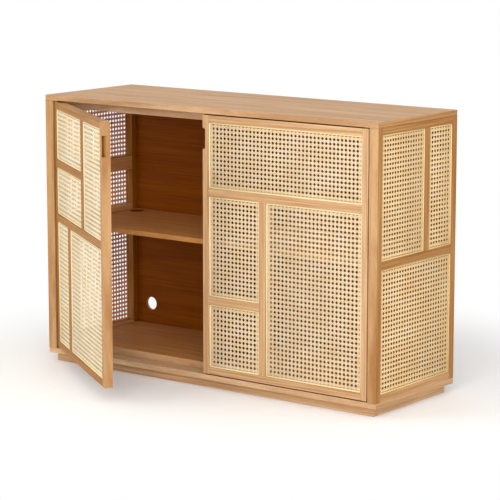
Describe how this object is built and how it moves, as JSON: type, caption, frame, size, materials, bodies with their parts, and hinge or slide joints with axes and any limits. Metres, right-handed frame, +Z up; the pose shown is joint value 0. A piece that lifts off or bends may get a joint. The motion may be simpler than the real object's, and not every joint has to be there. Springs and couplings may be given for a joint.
{
  "type": "sideboard",
  "caption": "Low sideboard in pale oak with hinged doors and sides framed round panels of woven cane, shelved bays behind them and a set-back plinth.",
  "frame": {"origin": "on the floor under the middle of the cabinet", "axes": "+X along the length to the right seen from the doors, +Y from the doors to the back, +Z up"},
  "size_m": [1.18, 0.7004, 0.8],
  "materials": {
    "oak": "satin clear lacquer",
    "cane": "natural woven cane",
    "reed": "natural reed",
    "brass": "turned",
    "steel": "nickel plated",
    "magnet": "matt black"
  },
  "bodies": {
    "carcass": {"back_left_post": "oak", "back_panel": "oak", "back_right_post": "oak", "bottom_board": "oak", "carcass_dowels": "oak", "catch_magnets": "magnet", "ceiling_panel": "oak", "centre_divider": "oak", "floor_panel": "oak", "front_left_post": "oak", "front_right_post": "oak", "left_shelf": "oak", "left_side_bottom_rail": "oak", "left_side_cane": "cane", "left_side_main_rail": "oak", "left_side_short_rail": "oak", "left_side_splines": "reed", "left_side_top_rail": "oak", "pivot_bushes": "brass", "plinth_back": "oak", "plinth_ends": "oak", "plinth_front": "oak", "plinth_stretcher": "oak", "right_shelf": "oak", "right_side_bottom_rail": "oak", "right_side_cane": "cane", "right_side_main_rail": "oak", "right_side_mullion": "oak", "right_side_splines": "reed", "right_side_top_rail": "oak", "shelf_pins": "steel", "top_board": "oak"},
    "left_door": {"left_door_bottom_rail": "oak", "left_door_cane": "cane", "left_door_hinge_stile": "oak", "left_door_lower_mullion": "oak", "left_door_main_rail": "oak", "left_door_meeting_stile": "oak", "left_door_pivot_pins": "steel", "left_door_short_rail": "oak", "left_door_splines": "reed", "left_door_strike_plate": "steel", "left_door_top_rail": "oak", "left_door_upper_mullion": "oak"},
    "right_door": {"right_door_bottom_rail": "oak", "right_door_cane": "cane", "right_door_hinge_stile": "oak", "right_door_main_rail": "oak", "right_door_meeting_stile": "oak", "right_door_mullion": "oak", "right_door_pivot_pins": "steel", "right_door_short_rail": "oak", "right_door_splines": "reed", "right_door_strike_plate": "steel", "right_door_top_rail": "oak"}
  },
  "joints": [
    {"name": "left_door_hinge", "type": "hinge", "parent": "carcass", "child": "left_door", "pos_m": [-0.5495, -0.189, 0], "axis": [0, 0, -1], "range_deg": [-34.6, 70.4]},
    {"name": "right_door_hinge", "type": "hinge", "parent": "carcass", "child": "right_door", "pos_m": [0.5495, -0.189, 0], "axis": [0, 0, 1], "range_deg": [0, 105]}
  ]
}
